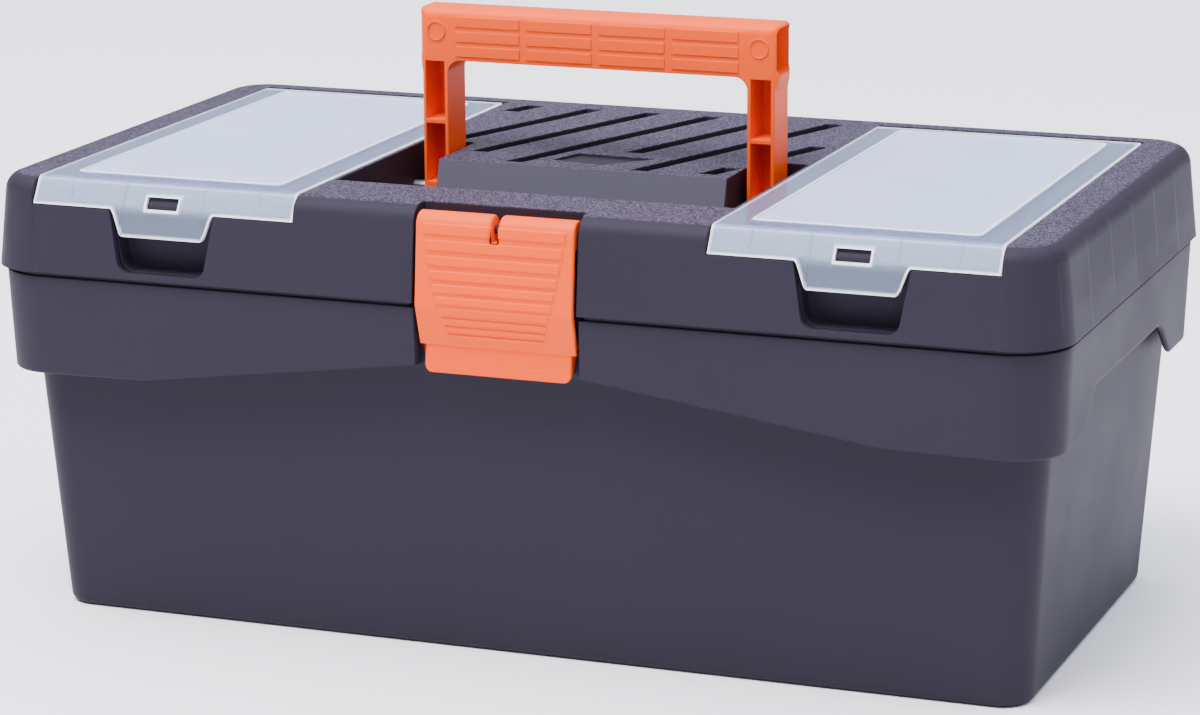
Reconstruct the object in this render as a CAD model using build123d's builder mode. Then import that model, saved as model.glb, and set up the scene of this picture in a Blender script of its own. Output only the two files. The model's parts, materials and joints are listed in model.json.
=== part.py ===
from build123d import *
import os

# 16-inch moulded-plastic toolbox with a lift-out tray. Millimetres; X right, Y back, Z up.
# The origin is on the floor, under the middle of the closed box with its handle upright.
os.makedirs("parts", exist_ok=True)

# ---------------------------------------------------------------- driving dimensions
wall = 2.4                # moulded wall
gap = 0.3                 # air between pieces that move past each other
run = 0.06                # radial clearance of a pin in a moving knuckle

rim_z = 134.0             # parting line
rim_x, rim_y = 203.6, 109.6      # half size of the tub's rim
rim_r = 22.0
foot_x, foot_y = 189.2, 88.1     # half size of the tub's foot
foot_r = 12.0
body_x, body_y = 196.6, 96.4     # half size of the tub's body just under the ledge
ledge_z = 114.0           # top of the ledge that carries the tray
skirt_low = 95.2          # skirt's lower edge at the front corners
skirt_high = 110.3        # skirt's lower edge beside the latch and along the ends
floor_t = 2.6

lid_z = rim_z + gap       # lid's lower edge
top_z = 169.0             # lid's flat top
lid_x, lid_y = 205.0, 111.2      # half size of the lid's lower edge
lid_r = 21.0
lid_lean = 5.8           # degrees that the lid's walls lean in
lid_round = 7.0

hinge_y, hinge_z = 111.0, 134.0
knuckle_r = 4.5
hinge_x = 120.0           # middle of each hinge
hinge_pin_r = 1.5

latch_w = 60.0
latch_y, latch_z = -104.4, 162.0   # latch pivot
latch_barrel_r = 5.2
latch_pin_r = 1.5
lip_low, lip_top = 109.0, 119.2    # thin lip at the latch's lower end
recess_w = latch_w + 2.6  # latch recess in tub and lid
catch_y = -106.4          # tip of the tub's catch

well_x = 77.0             # handle well
well_front, well_back = -74.0, -25.0
well_floor = 142.4
leg_in, leg_out = 57.0, 77.0       # leg channels beside the centre block
leg_back = 10.0

handle_y, handle_z = -1.45, 153.0  # handle pivot
bar_top, bar_low = 223.6, 203.8
bar_half, bar_deep = 71.5, 16.7
leg_x_out, leg_x_in = 69.9, 59.5
shell = 1.3               # wall of the handle's hollow bar ends and channels
pad_pitch, pad_proud = 28.8, 0.35     # grip pads on the bar
handle_pin_r = 2.5

slot_x, slot_pitch, slot_lean, slot_half = -39.5, 25.2, 0.358, 3.5      # slots in the centre block

cover_x = 131.0           # middle of each organiser cover
cover_half = 52.4
cover_front, cover_back = -103.0, 89.8     # where the plate's top would meet the flange, and its back edge
flange_low = 159.8
flange_y = -108.7         # outer face of the leaning flange at its lower edge
flange_t = 1.74           # flange and tab, measured front to back
cover_top, cover_t = 169.4, 1.8
seat_z = cover_top - cover_t - gap       # shelf that a cover lies on
cover_hinge_y, cover_hinge_z = 89.0, 165.6
cover_knuckle_r = 2.4
cover_ear_r = 1.8
trench_front, trench_back, trench_z = 84.7, 95.0, 161.3
cover_pin_r = 1.0
tab_half, tab_low = 17.0, 150.0
tab_y = -109.6            # outer face of the tab at its lower edge
window_half, window_low, window_high = 6.4, 159.8, 164.6
pocket_top, pocket_low = 159.4, 136.6      # finger pocket under a tab

bin_half = 45.0           # organiser bin, inside
bin_front, bin_back = -92.0, 78.0
bin_floor = 141.0

tray_x, tray_y = 191.0, 86.0
tray_top, tray_low = 126.0, 88.0
tray_wall = 1.8
sides = (("left", -1), ("right", 1))


def rounded(half_x, half_y, radius, inset=0.0):
    """Draw a centred rounded rectangle, drawn in by an inset."""
    RectangleRounded(2 * (half_x - inset), 2 * (half_y - inset), radius - inset)


def skirt_cutters():
    """Cut away what lies under the skirt's stepped lower edge."""
    low, high = skirt_low, skirt_high
    with BuildSketch(Plane.XZ.offset(-130)) as front_wave:
        with BuildLine():
            Polyline((-230, 80), (-230, low - 2), (-184, low), (-141, low + 0.6), (-36, high),
                     (36, high), (141, low + 0.6), (184, low), (230, low - 2), (230, 80), close=True)
        make_face()
    extrude(front_wave.sketch, amount=260, mode=Mode.SUBTRACT)
    with BuildSketch(Plane.YZ.offset(-230)) as end_wave:
        with BuildLine():
            Spline((-70, 80), (-66, low + 1), (-58, low + 6), (-49, high - 0.7),
                   tangents=((0.2, 1), (0.6, 0.2)))
            Line((-49, high - 0.7), (42, high - 0.7))
            Spline((42, high - 0.7), (58, high - 6), (72, low + 2), (84, 80),
                   tangents=((1, -0.2), (0.1, -1)))
            Line((84, 80), (-70, 80))
        make_face()
    extrude(end_wave.sketch, amount=460, mode=Mode.SUBTRACT)


# ---------------------------------------------------------------- tub
with BuildPart() as skirt_core:
    with BuildSketch(Plane.XY.offset(90)):
        rounded(rim_x - 1.6, rim_y - 1.6, rim_r, wall)
    with BuildSketch(Plane.XY.offset(ledge_z - wall)):
        rounded(rim_x - 0.8, rim_y - 0.8, rim_r, wall)
    loft(ruled=True)
    skirt_cutters()

with BuildPart() as tub:
    with BuildSketch(Plane.XY.offset(90)):
        rounded(rim_x - 1.6, rim_y - 1.6, rim_r)
    with BuildSketch(Plane.XY.offset(rim_z)):
        rounded(rim_x, rim_y, rim_r)
    loft(ruled=True)
    skirt_cutters()
    add(skirt_core.part, mode=Mode.SUBTRACT)
    with BuildSketch(Plane.XY):
        rounded(foot_x, foot_y, foot_r)
    with BuildSketch(Plane.XY.offset(ledge_z)):
        rounded(body_x, body_y, foot_r + 2)
    loft(ruled=True)
    # room inside, under and over the ledge
    with BuildSketch(Plane.XY.offset(floor_t)):
        rounded(foot_x, foot_y, foot_r, wall)
    with BuildSketch(Plane.XY.offset(ledge_z)):
        rounded(body_x, body_y, foot_r + 2, wall)
    loft(ruled=True, mode=Mode.SUBTRACT)
    with BuildSketch(Plane.XY.offset(ledge_z)):
        rounded(rim_x - 0.8, rim_y - 0.8, rim_r, wall)
    with BuildSketch(Plane.XY.offset(rim_z)):
        rounded(rim_x, rim_y, rim_r, wall)
    loft(ruled=True, mode=Mode.SUBTRACT)
    # latch recess through the skirt, its back wall, and the catch
    with BuildSketch(Plane.XY.offset(100)):
        with Locations((0, -108)):
            Rectangle(recess_w, 12)
    extrude(amount=rim_z - 100, mode=Mode.SUBTRACT)
    with BuildSketch(Plane.XY.offset(ledge_z - wall)):
        with Locations((0, -101.2)):
            Rectangle(recess_w + 2 * wall, wall)
        for side in (-1, 1):
            with Locations((side * (recess_w + wall) / 2, -104.5)):
                Rectangle(wall, 9)
    extrude(amount=rim_z - ledge_z + wall)
    with BuildSketch(Plane.YZ.offset(-20)) as catch:
        with BuildLine():
            Polyline((-101.6, 126), (catch_y, 127.8), (catch_y, 130), (-101.6, 131.5), close=True)
        make_face()
    extrude(amount=40)
    # rear knuckles, in pairs round each lid knuckle, with webs down to the wall
    for middle in (-hinge_x, hinge_x):
        for start in (middle - 20.0, middle + 8.0):
            with BuildSketch(Plane.YZ.offset(start)) as tub_knuckle:
                with Locations((hinge_y, hinge_z)):
                    Circle(knuckle_r)
                with BuildLine():
                    Polyline((107.6, hinge_z - 14), (109.2, hinge_z - 14), (hinge_y + knuckle_r, hinge_z),
                             (107.6, hinge_z), close=True)
                make_face()
            extrude(amount=12)
    for middle in (-hinge_x, hinge_x):
        with BuildSketch(Plane.YZ.offset(middle - 8)) as tub_notch:
            with Locations((hinge_y, hinge_z)):
                Circle(knuckle_r + 0.5)
        extrude(amount=16, mode=Mode.SUBTRACT)
        with BuildSketch(Plane.YZ.offset(middle - 19.5)) as tub_bore:
            with Locations((hinge_y, hinge_z)):
                Circle(hinge_pin_r)
        extrude(amount=39, mode=Mode.SUBTRACT)
    # inside of the skirt is kept clear where the knuckle circles reach in
    with BuildSketch(Plane.XY.offset(ledge_z)):
        with Locations((0, 100.8)):
            Rectangle(340, 12)
    extrude(amount=rim_z - ledge_z + 10, mode=Mode.SUBTRACT)
tub.part.label = "tub"
export_step(tub.part, "parts/tub.step")

# ---------------------------------------------------------------- lid hinge pins
for name, side in sides:
    with BuildPart() as hinge_pin:
        with BuildSketch(Plane.YZ.offset(side * hinge_x - 19.5)):
            with Locations((hinge_y, hinge_z)):
                Circle(hinge_pin_r)
        extrude(amount=39)
    hinge_pin.part.label = f"lid_hinge_pin_{name}"
    export_step(hinge_pin.part, f"parts/lid_hinge_pin_{name}.step")

# ---------------------------------------------------------------- lid
with BuildPart() as lid_outer:
    # walls lean in as they rise, and one soft round runs all the way round the top
    with BuildSketch(Plane.XY.offset(lid_z)):
        rounded(lid_x, lid_y, lid_r)
    extrude(amount=top_z - lid_z, taper=lid_lean)
    fillet(lid_outer.edges().group_by(Axis.Z)[-1], lid_round)

with BuildPart() as lid:
    add(lid_outer.part)
    # hollow underside
    with BuildSketch(Plane.XY.offset(lid_z)):
        rounded(lid_x, lid_y, lid_r, wall)
    with BuildSketch(Plane.XY.offset(top_z - wall)):
        rounded(lid_x - 5, lid_y - 4, lid_r, wall)
    loft(ruled=True, mode=Mode.SUBTRACT)
    # bins, well and finger pockets hang from the deck as boxes
    with BuildSketch(Plane.XY.offset(bin_floor - wall)):
        for side in (-1, 1):
            with Locations((side * cover_x, (bin_front + bin_back) / 2)):
                Rectangle(2 * (bin_half + wall), bin_back - bin_front + 2 * wall)
    extrude(amount=top_z - bin_floor)
    # shelves under the covers and beams along the front wall behind their flanges
    with BuildSketch(Plane.XY.offset(seat_z - wall)):
        for side in (-1, 1):
            with Locations((side * cover_x, -5.3)):
                Rectangle(2 * (cover_half + 2.5), 198.2)
    extrude(amount=wall)
    with BuildSketch(Plane.XY.offset(157)):
        for side in (-1, 1):
            with Locations((side * cover_x, -102.4)):
                Rectangle(2 * (cover_half + 2.5), 7.8)
    extrude(amount=seat_z - 157)
    with BuildSketch(Plane.XY.offset(well_floor - wall)):
        with Locations((0, (well_front + well_back) / 2)):
            Rectangle(2 * (well_x + wall), well_back - well_front + 2 * wall)
        for side in (-1, 1):
            with Locations((side * (leg_in + leg_out) / 2, (well_back + leg_back) / 2)):
                Rectangle(leg_out - leg_in + 2 * wall, leg_back - well_back + 2 * wall)
    extrude(amount=top_z - well_floor)
    with BuildSketch(Plane.XY.offset(bin_floor)):
        for side in (-1, 1):
            with Locations((side * cover_x, (bin_front + bin_back) / 2)):
                RectangleRounded(2 * bin_half, bin_back - bin_front, 4)
    extrude(amount=top_z - bin_floor + 1, mode=Mode.SUBTRACT)
    with BuildSketch(Plane.XY.offset(well_floor)):
        with Locations((0, (well_front + well_back) / 2)):
            Rectangle(2 * well_x, well_back - well_front)
        for side in (-1, 1):
            with Locations((side * (leg_in + leg_out) / 2, (well_back + leg_back) / 2)):
                Rectangle(leg_out - leg_in, leg_back - well_back)
    extrude(amount=top_z - well_floor + 1, mode=Mode.SUBTRACT)
    # the centre block's front face leans forward to the well's floor
    with BuildSketch(Plane.YZ.offset(-leg_in)) as block_nose:
        with BuildLine():
            Polyline((well_back, well_floor - 1), (well_back - 8, well_floor - 1), (well_back, top_z),
                     (well_back + wall, top_z), (well_back + wall, well_floor - 1), close=True)
        make_face()
    extrude(amount=2 * leg_in)
    # seats for the covers: a step in the deck and in the front wall
    for side in (-1, 1):
        with BuildSketch(Plane.XY.offset(seat_z)):
            with Locations((side * cover_x, (cover_front + trench_back) / 2)):
                Rectangle(2 * cover_half + 2 * gap, trench_back - cover_front)
        extrude(amount=10, mode=Mode.SUBTRACT)
        with BuildSketch(Plane.YZ.offset(side * cover_x - cover_half - gap)):
            with BuildLine():
                Polyline((-102.2, seat_z), (-106.75, flange_low - 0.4), (-118, flange_low - 0.4),
                         (-118, 176), (-102.2, 176), close=True)
            make_face()
        extrude(amount=2 * (cover_half + gap), mode=Mode.SUBTRACT)
    # finger pockets under the tabs: outer walls, then the room inside them
    for side in (-1, 1):
        with BuildSketch(Plane.XZ.offset(97)) as pocket_box:
            with Locations((side * cover_x, (pocket_low - 1.6 + pocket_top) / 2)):
                Rectangle(42 + 2 * wall, pocket_top - pocket_low + 1.6)
        extrude(amount=9)
        with BuildSketch(Plane.XZ.offset(99.4)) as pocket_room:
            with BuildLine():
                Polyline((side * cover_x - 21, pocket_top), (side * cover_x - 17, pocket_low),
                         (side * cover_x + 17, pocket_low), (side * cover_x + 21, pocket_top), close=True)
            make_face()
            fillet(pocket_room.vertices().group_by(Axis.Y)[0], 5)
        extrude(amount=20, mode=Mode.SUBTRACT)
        with BuildSketch(Plane.YZ.offset(side * cover_x - window_half + 0.4)) as hook:
            with BuildLine():
                Polyline((-103.5, 164.2), (-104.6, 164.2), (-106.1, 162.2), (-107, 161.9), (-107, 160.3),
                         (-103.5, 160.3), close=True)
            make_face()
        extrude(amount=2 * (window_half - 0.4))
    # latch recess in the front wall and its roof
    with BuildSketch(Plane.XY.offset(lid_z)):
        with Locations((0, -105.1)):
            Rectangle(recess_w, 14.2)
    extrude(amount=top_z - lid_z + 1, mode=Mode.SUBTRACT)
    with BuildSketch(Plane.XY.offset(lid_z)):
        with Locations((0, -96.8)):
            Rectangle(recess_w + 2 * wall, wall)
        for side in (-1, 1):
            with Locations((side * (recess_w + wall) / 2, -102.4)):
                Rectangle(wall, 11)
    extrude(amount=top_z - wall - lid_z + 0.5)
    add(lid_outer.part, mode=Mode.INTERSECT)
    # slanted slots through the centre block, evenly spaced, with their ends square to the box
    for row, low_y, high_y in ((-1, 76, 91), (0, 14, 91), (1, -6, 91), (2, -20.8, 91), (3, 10.6, 91),
                               (4, -21.6, 91), (5, 16, 44.5), (5, -19.5, -5)):
        x_low = slot_x + slot_pitch * row - slot_lean * (90 - low_y)
        x_high = slot_x + slot_pitch * row - slot_lean * (90 - high_y)
        with BuildSketch(Plane.XY.offset(top_z - 8)):
            with BuildLine():
                Polyline((x_low - slot_half, low_y), (x_low + slot_half, low_y),
                         (x_high + slot_half, high_y), (x_high - slot_half, high_y), close=True)
            make_face()
        extrude(amount=10, mode=Mode.SUBTRACT)
    # blank badge recess
    with BuildSketch(Plane.XY.offset(top_z - 1)) as badge:
        with BuildLine():
            Polyline((-16.7, -12), (-11.4, 2.9), (19.7, 1.5), (4.8, -16), close=True)
        make_face()
    extrude(amount=3, mode=Mode.SUBTRACT)
    # rear knuckles, and room for the tub's knuckles
    for middle in (-hinge_x, hinge_x):
        for start in (middle - 20.4, middle + 7.6):
            with BuildSketch(Plane.YZ.offset(start)) as lid_notch:
                with Locations((hinge_y, hinge_z)):
                    Circle(knuckle_r + 0.6)
            extrude(amount=12.8, mode=Mode.SUBTRACT)
        with BuildSketch(Plane.YZ.offset(middle - 7.6)) as lid_knuckle:
            with Locations((hinge_y, hinge_z)):
                Circle(knuckle_r)
            with BuildLine():
                Polyline((108.6, hinge_z + 12), (110.6, hinge_z + 12),
                         (hinge_y + knuckle_r, hinge_z), (hinge_y, hinge_z - 1), (108.6, hinge_z),
                         close=True)
            make_face()
        extrude(amount=15.2)
        with BuildSketch(Plane.YZ.offset(middle - 8)) as lid_bore:
            with Locations((hinge_y, hinge_z)):
                Circle(hinge_pin_r + run)
        extrude(amount=16, mode=Mode.SUBTRACT)
    # bosses that hold the handle pins
    for side in (-1, 1):
        inner = min(side * leg_in, side * leg_out) - 2
        with BuildSketch(Plane.YZ.offset(inner)) as handle_bore:
            with Locations((handle_y, handle_z)):
                Circle(handle_pin_r)
        extrude(amount=leg_out - leg_in + 4, mode=Mode.SUBTRACT)
    # trench for the covers' hinge knuckles, with the ears that hold their pins
    for side in (-1, 1):
        with BuildSketch(Plane.XY.offset(trench_z - wall)):
            with Locations((side * cover_x, (trench_front + trench_back) / 2)):
                Rectangle(2 * (cover_half + gap + 2), trench_back - trench_front + 2 * wall)
        extrude(amount=seat_z - trench_z + wall)
        with BuildSketch(Plane.XY.offset(trench_z)):
            with Locations((side * cover_x, (trench_front + trench_back) / 2)):
                Rectangle(2 * (cover_half + gap), trench_back - trench_front)
        extrude(amount=10, mode=Mode.SUBTRACT)
        for start in (side * cover_x - 44, side * cover_x + 41):
            with BuildSketch(Plane.YZ.offset(start)):
                with Locations((cover_hinge_y, cover_hinge_z)):
                    Circle(cover_ear_r)
                with Locations((cover_hinge_y, (trench_z + cover_hinge_z) / 2 - 0.5)):
                    Rectangle(2 * cover_ear_r, cover_hinge_z - trench_z + 1)
            extrude(amount=3)
        with BuildSketch(Plane.YZ.offset(side * cover_x - 44)):
            with Locations((cover_hinge_y, cover_hinge_z)):
                Circle(cover_pin_r)
        extrude(amount=88, mode=Mode.SUBTRACT)
    # latch pin bores
    with BuildSketch(Plane.YZ.offset(-latch_w / 2 - 3)) as latch_bore:
        with Locations((latch_y, latch_z)):
            Circle(latch_pin_r)
    extrude(amount=latch_w + 6, mode=Mode.SUBTRACT)
lid.part.label = "lid"
export_step(lid.part, "parts/lid.step")

# ---------------------------------------------------------------- latch
with BuildPart() as latch:
    # plate with its rolled top; below the parting line it turns in, and the lip hangs from there
    with BuildSketch(Plane.YZ.offset(-latch_w / 2)):
        with BuildLine():
            Polyline((latch_y - 3, latch_z), (-107.6, 159.5), (-109.8, 133.2), (-104.9, lip_top - 0.4),
                     (-106.2, lip_low), (-108.3, lip_low), (-107.1, lip_top), (-112, 133.8),
                     (-109.6, 161.5), (latch_y - 2, latch_z + 4), close=True)
        make_face()
        with Locations((latch_y, latch_z)):
            Circle(latch_barrel_r)
    extrude(amount=latch_w)
    # hook that holds the tub's catch
    with BuildSketch(Plane.YZ.offset(-18)):
        with BuildLine():
            Polyline((-108.6, 126.4), (-107.4, 121), (-106.2, 121), (-105.2, 122.8), (-105.2, 125.6),
                     close=True)
        make_face()
    extrude(amount=36)
    # slot at the top, and the pin's bore
    with BuildSketch(Plane.XY.offset(158)):
        with Locations((0, -106)):
            Rectangle(2.8, 16)
    extrude(amount=12, mode=Mode.SUBTRACT)
    with BuildSketch(Plane.YZ.offset(-latch_w / 2)):
        with Locations((latch_y, latch_z)):
            Circle(latch_pin_r + run)
    extrude(amount=latch_w, mode=Mode.SUBTRACT)
    # the lip is a little narrower than the plate
    with BuildSketch(Plane.XY.offset(lip_low - 2)):
        for side in (-1, 1):
            with Locations((side * (latch_w / 2 - 1), -107)):
                Rectangle(2.1, 8)
    extrude(amount=lip_top - lip_low + 1.8, mode=Mode.SUBTRACT)
    # raised grip slabs across the plate, narrower from one to the next
    with BuildSketch(Plane((0, -110.7, 147.5), x_dir=(1, 0, 0), z_dir=(0, -0.9963, 0.0857))):
        for row in range(5):
            with Locations((0, 8 - 4.9 * row)):
                Rectangle(54 - 2 * row, 3)
    extrude(amount=0.5)
latch.part.label = "latch"
export_step(latch.part, "parts/latch.step")

with BuildPart() as latch_pin:
    with BuildSketch(Plane.YZ.offset(-latch_w / 2 - 3)):
        with Locations((latch_y, latch_z)):
            Circle(latch_pin_r)
    extrude(amount=latch_w + 6)
latch_pin.part.label = "latch_pin"
export_step(latch_pin.part, "parts/latch_pin.step")

# ---------------------------------------------------------------- handle
bar_mid = (bar_top + bar_low) / 2
with BuildPart() as handle:
    # the bail's outline: bar, soft steps in to the legs, rounded inner corners
    with BuildSketch(Plane.XZ.offset(-handle_y - bar_deep / 2)) as bail:
        with BuildLine():
            Polyline((-bar_half, bar_top), (bar_half, bar_top), (bar_half, bar_low + 1),
                     (leg_x_out, bar_low - 5), (leg_x_out, handle_z), (leg_x_in, handle_z),
                     (leg_x_in, bar_low), (-leg_x_in, bar_low),
                     (-leg_x_in, handle_z), (-leg_x_out, handle_z), (-leg_x_out, bar_low - 5),
                     (-bar_half, bar_low + 1), close=True)
        make_face()
        fillet(bail.vertices().filter_by(lambda v: abs(abs(v.X) - leg_x_in) < 0.1 and v.Y > 180), 5)
        fillet(bail.vertices().group_by(Axis.Y)[-1], 2)
    extrude(amount=bar_deep)
    fillet(handle.edges().filter_by(Axis.X).group_by(Axis.Z)[-1], 4)
    # round ends of the legs, on the pivots
    for side in (-1, 1):
        with BuildSketch(Plane.YZ.offset(min(side * leg_x_in, side * leg_x_out))):
            with Locations((handle_y, handle_z)):
                Circle(bar_deep / 2)
        extrude(amount=leg_x_out - leg_x_in)
    # open channel in each leg's front, with a cross rib left in it
    for side in (-1, 1):
        for low, high in ((handle_z + 4, 179.4), (181, bar_low - 0.5)):
            with BuildSketch(Plane.XZ.offset(-handle_y - bar_deep / 2 + 2)):
                with Locations((side * (leg_x_in + leg_x_out) / 2, (low + high) / 2)):
                    Rectangle(leg_x_out - leg_x_in - 2 * shell, high - low)
            extrude(amount=bar_deep, mode=Mode.SUBTRACT)
    # the hollow of the bar opens at its two ends
    for side in (-1, 1):
        with BuildSketch(Plane.YZ.offset(min(side * 52, side * (bar_half + 1)))):
            with Locations((handle_y, bar_mid)):
                RectangleRounded(bar_deep - 2 * shell, bar_top - bar_low - 2 * shell, 2.5)
        extrude(amount=bar_half - 51, mode=Mode.SUBTRACT)
    # grip pads, four columns of three on both faces, and a round moulding mark at each end
    for face_y in (handle_y - bar_deep / 2 - pad_proud, handle_y + bar_deep / 2 - 0.4):
        with BuildSketch(Plane.XZ.offset(-face_y)):
            with Locations((0, bar_mid - 0.8)):
                with GridLocations(pad_pitch, 5.6, 4, 3):
                    Rectangle(pad_pitch - 3, 3.9)
            with Locations((-64, bar_mid + 1), (64, bar_mid + 1)):
                Circle(3.8)
                Circle(3.2, mode=Mode.SUBTRACT)
        extrude(amount=-0.4 - pad_proud)
    for side in (-1, 1):
        with BuildSketch(Plane.YZ.offset(min(side * leg_x_in, side * leg_x_out) - 1)):
            with Locations((handle_y, handle_z)):
                Circle(handle_pin_r + run)
        extrude(amount=leg_x_out - leg_x_in + 2, mode=Mode.SUBTRACT)
handle.part.label = "handle"
export_step(handle.part, "parts/handle.step")

for name, side in sides:
    with BuildPart() as handle_pin:
        with BuildSketch(Plane.YZ.offset(min(side * leg_in, side * leg_out) - 2)):
            with Locations((handle_y, handle_z)):
                Circle(handle_pin_r)
        extrude(amount=leg_out - leg_in + 4)
    handle_pin.part.label = f"handle_pin_{name}"
    export_step(handle_pin.part, f"parts/handle_pin_{name}.step")

# ---------------------------------------------------------------- organiser covers
for name, side in sides:
    middle = side * cover_x
    with BuildPart() as cover:
        # plate and flange are one bent sheet, and the tab hangs from the flange
        with BuildSketch(Plane.YZ.offset(middle - cover_half)) as cover_profile:
            with BuildLine():
                Polyline((cover_back, cover_top), (cover_front, cover_top), (flange_y, flange_low),
                         (flange_y + flange_t, flange_low), (cover_front + 0.64, cover_top - cover_t),
                         (cover_back, cover_top - cover_t), close=True)
            make_face()
            outer_bend = cover_profile.vertices().sort_by_distance((cover_front, cover_top))[0]
            fillet(outer_bend, 3.0)
            inner_corner = (cover_front + 0.64, cover_top - cover_t)
            fillet(cover_profile.vertices().sort_by_distance(inner_corner)[0], 1.2)
        extrude(amount=2 * cover_half)
        with BuildSketch(Plane.YZ.offset(middle - tab_half)):
            with BuildLine():
                Polyline((flange_y + 0.35, flange_low + 0.6), (tab_y, tab_low), (tab_y + flange_t, tab_low),
                         (flange_y + flange_t + 0.3, flange_low + 0.6), close=True)
            make_face()
        extrude(amount=2 * tab_half)
        with BuildSketch(Plane.XZ.offset(100)):
            with Locations((middle, (window_low + window_high) / 2)):
                Rectangle(2 * window_half, window_high - window_low)
        extrude(amount=12, mode=Mode.SUBTRACT)
        # raised frame round the panel
        with BuildSketch(Plane.XY.offset(cover_top - 0.1)):
            with Locations((middle, -5.5)):
                RectangleRounded(84, 179, 2)
                RectangleRounded(81, 176, 1.5, mode=Mode.SUBTRACT)
        extrude(amount=0.7)
        # knuckles on the hinge pin
        with BuildSketch(Plane.YZ.offset(middle - 40)):
            with Locations((cover_hinge_y, cover_hinge_z)):
                Circle(cover_knuckle_r)
        extrude(amount=20)
        with BuildSketch(Plane.YZ.offset(middle + 20)):
            with Locations((cover_hinge_y, cover_hinge_z)):
                Circle(cover_knuckle_r)
        extrude(amount=20)
        with BuildSketch(Plane.YZ.offset(middle - 41)):
            with Locations((cover_hinge_y, cover_hinge_z)):
                Circle(cover_pin_r + run)
        extrude(amount=82, mode=Mode.SUBTRACT)
    cover.part.label = f"cover_{name}"
    export_step(cover.part, f"parts/cover_{name}.step")
    with BuildPart() as cover_pin:
        with BuildSketch(Plane.YZ.offset(middle - 44)):
            with Locations((cover_hinge_y, cover_hinge_z)):
                Circle(cover_pin_r)
        extrude(amount=88)
    cover_pin.part.label = f"cover_pin_{name}"
    export_step(cover_pin.part, f"parts/cover_pin_{name}.step")

# ---------------------------------------------------------------- loose dividers of the bins
for name, side in sides:
    for place, row_y in (("front", bin_front + 57), ("back", bin_front + 113)):
        with BuildPart() as divider:
            with BuildSketch(Plane.XY.offset(bin_floor)):
                with Locations((side * cover_x, row_y)):
                    Rectangle(2 * bin_half - 1, 1.6)
            extrude(amount=19)
        divider.part.label = f"divider_{name}_{place}"
        export_step(divider.part, f"parts/divider_{name}_{place}.step")

# ---------------------------------------------------------------- lift-out tray
with BuildPart() as tray:
    with BuildSketch(Plane.XY.offset(tray_low)):
        rounded(tray_x - 2, tray_y - 2, 10)
    with BuildSketch(Plane.XY.offset(tray_top)):
        rounded(tray_x, tray_y, 10)
    loft(ruled=True)
    # flanges at both ends lie on the tub's ledge
    with BuildSketch(Plane.XY.offset(ledge_z)):
        Rectangle(2 * (rim_x - 5), 2 * 60)
    extrude(amount=tray_wall)
    with BuildSketch(Plane.XY.offset(tray_low + tray_wall)):
        rounded(tray_x - 2, tray_y - 2, 10, tray_wall)
    with BuildSketch(Plane.XY.offset(tray_top)):
        rounded(tray_x, tray_y, 10, tray_wall)
    loft(ruled=True, mode=Mode.SUBTRACT)
    # long wall behind the front trough, and posts that take the grip
    with BuildSketch(Plane.XY.offset(tray_low + tray_wall)):
        with Locations((0, -18)):
            Rectangle(2 * tray_x - 8, tray_wall)
    extrude(amount=26)
tray.part.label = "tray"
export_step(tray.part, "parts/tray.step")

with BuildPart() as tray_grip:
    with BuildSketch(Plane.XZ.offset(18 - tray_wall / 2 - 0.2)):
        with BuildLine():
            Polyline((-60, tray_low + tray_wall), (-60, 125.6), (60, 125.6),
                     (60, tray_low + tray_wall), (52, tray_low + tray_wall), (52, 118), (-52, 118),
                     (-52, tray_low + tray_wall), close=True)
        make_face()
    extrude(amount=-6)
tray_grip.part.label = "tray_grip"
export_step(tray_grip.part, "parts/tray_grip.step")

for name, row_x in (("left", -96), ("middle", 0), ("right", 96)):
    with BuildPart() as tray_divider:
        with BuildSketch(Plane.XY.offset(tray_low + tray_wall)):
            with Locations((row_x, 36)):
                Rectangle(1.6, 92)
        extrude(amount=24)
    tray_divider.part.label = f"tray_divider_{name}"
    export_step(tray_divider.part, f"parts/tray_divider_{name}.step")
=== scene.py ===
# %% [markdown]
# # A moulded toolbox with a lift-out tray
# The box was designed in CAD first: every piece, pin and hinge has its place there. This notebook
# dresses that model. The surfaces that light plays on, such as the tub, the latch and the clear
# covers, are worked out again as smooth grids of points. The other pieces keep their CAD shape and
# get a proper finish.

# %% Load the frame
import json
import math
import bpy
import numpy as np
from mathutils import Matrix, Vector


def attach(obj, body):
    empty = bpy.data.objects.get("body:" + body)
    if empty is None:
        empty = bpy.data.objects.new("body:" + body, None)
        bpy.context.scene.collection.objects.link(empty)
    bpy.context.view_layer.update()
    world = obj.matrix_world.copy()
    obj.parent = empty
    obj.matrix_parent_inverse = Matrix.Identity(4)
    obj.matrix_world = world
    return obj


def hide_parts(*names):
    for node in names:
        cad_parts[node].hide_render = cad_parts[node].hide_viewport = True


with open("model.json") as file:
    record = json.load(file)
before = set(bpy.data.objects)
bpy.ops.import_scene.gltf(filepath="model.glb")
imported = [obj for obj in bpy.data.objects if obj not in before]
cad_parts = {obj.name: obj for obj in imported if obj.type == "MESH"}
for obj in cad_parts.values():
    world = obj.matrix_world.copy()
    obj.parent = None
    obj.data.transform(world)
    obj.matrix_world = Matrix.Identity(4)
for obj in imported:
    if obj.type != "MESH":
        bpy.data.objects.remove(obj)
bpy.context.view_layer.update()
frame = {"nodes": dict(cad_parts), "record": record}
MM = 0.001

# %% [markdown]
# ## The camera
# A product shot is taken from some distance with a long lens, so that the long edges run nearly
# parallel. Two angles and a small roll turn the camera; the third column of its matrix looks back
# from the box to the lens.

# %% Camera
CAMERA_PLACE = Vector((0.5282, -1.3791, 0.4552))
YAW, PITCH, ROLL = (math.radians(a) for a in (21.05, 13.84, -0.347))
LENS_MM, SENSOR_MM = 120.2, 36


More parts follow.
